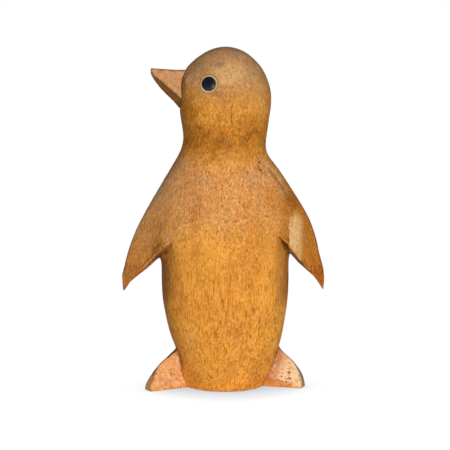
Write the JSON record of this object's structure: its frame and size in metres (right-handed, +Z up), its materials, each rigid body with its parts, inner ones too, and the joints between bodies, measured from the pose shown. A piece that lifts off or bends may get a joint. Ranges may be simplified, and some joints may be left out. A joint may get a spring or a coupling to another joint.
{
  "type": "carved wooden penguin figurine",
  "caption": "Standing carved wooden penguin ornament with spread wings and its head turned to its right, with a let-in bare-wood beak and feet and black bead eyes.",
  "frame": {"origin": "on the floor, in the middle of the body's flat underside, under the neck", "axes": "+Z up; -Y is the way the chest faces; -X is the way the beak points, the figure's own right"},
  "size_m": [0.1178, 0.0631, 0.2],
  "materials": {
    "stained_wood": "satin orange-brown stain",
    "bare_wood": "smooth, bare, clear sealed",
    "eye_bead": "polished black",
    "dowel_wood": "plain sawn"
  },
  "bodies": {
    "root": {"body": "stained_wood", "beak": "bare_wood", "beak_dowel": "dowel_wood", "left_eye": "eye_bead", "right_eye": "eye_bead", "left_foot": "bare_wood", "left_foot_dowel": "dowel_wood", "right_foot": "bare_wood", "right_foot_dowel": "dowel_wood"}
  },
  "joints": []
}
